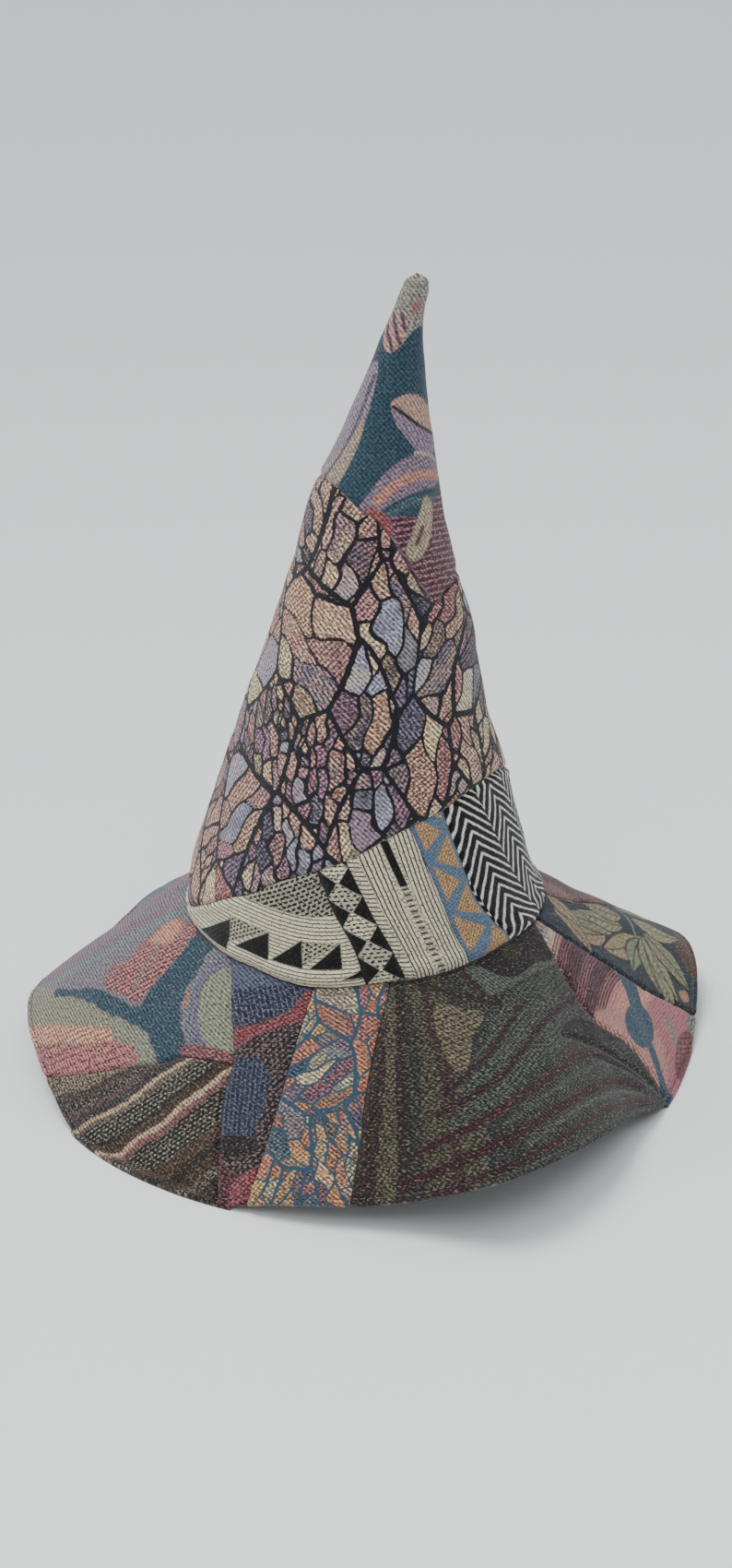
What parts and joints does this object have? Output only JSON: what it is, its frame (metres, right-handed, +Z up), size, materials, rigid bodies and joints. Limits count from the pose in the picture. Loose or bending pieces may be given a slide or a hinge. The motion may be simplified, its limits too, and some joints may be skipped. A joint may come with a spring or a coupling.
{
  "type": "hat",
  "caption": "Tall pointed hat pieced from woven tapestry patches, with a slanting patterned band and a wide drooping wavy brim, hollow inside for the head",
  "frame": {"origin": "on the surface that the brim rests on, under the middle of the brim's outline", "axes": "+Z up along the crown to the tip, front of the hat at -Y, +X to the viewer's right"},
  "size_m": [0.3826, 0.3776, 0.419],
  "materials": {
    "crown_tip": "blue floral tapestry",
    "crown_body": "pink and cream tapestry with dark cell outlines",
    "band_triangles": "cream rib weave with black triangles",
    "band_checks": "black and cream check weave",
    "band_stripes": "cream pinstripe weave",
    "band_lattice": "ochre and blue lattice weave",
    "band_chevron": "black and white zigzag weave",
    "band_back": "plain dark cotton",
    "brim_blue_floral": "teal and pink floral tapestry",
    "brim_brown_stripe": "brown and cream diagonal rib weave",
    "brim_navy_red": "navy and crimson tapestry",
    "brim_mosaic": "peach and yellow tapestry with blue lines",
    "brim_dark_leaf": "dark green-grey leaf tapestry",
    "brim_pink_teardrop": "pink tapestry with a teal drop",
    "brim_foliage": "navy tapestry with sage leaves",
    "brim_pink": "pinkish grey tapestry",
    "brim_back": "plain dark cotton"
  },
  "bodies": {
    "root": {"crown_tip": "crown_tip", "crown_body": "crown_body", "band_triangles": "band_triangles", "band_checks": "band_checks", "band_stripes": "band_stripes", "band_lattice": "band_lattice", "band_chevron": "band_chevron", "band_back": "band_back", "brim_blue_floral": "brim_blue_floral", "brim_brown_stripe": "brim_brown_stripe", "brim_navy_red": "brim_navy_red", "brim_mosaic": "brim_mosaic", "brim_dark_leaf": "brim_dark_leaf", "brim_pink_teardrop": "brim_pink_teardrop", "brim_foliage": "brim_foliage", "brim_pink": "brim_pink", "brim_back": "brim_back"}
  },
  "joints": []
}
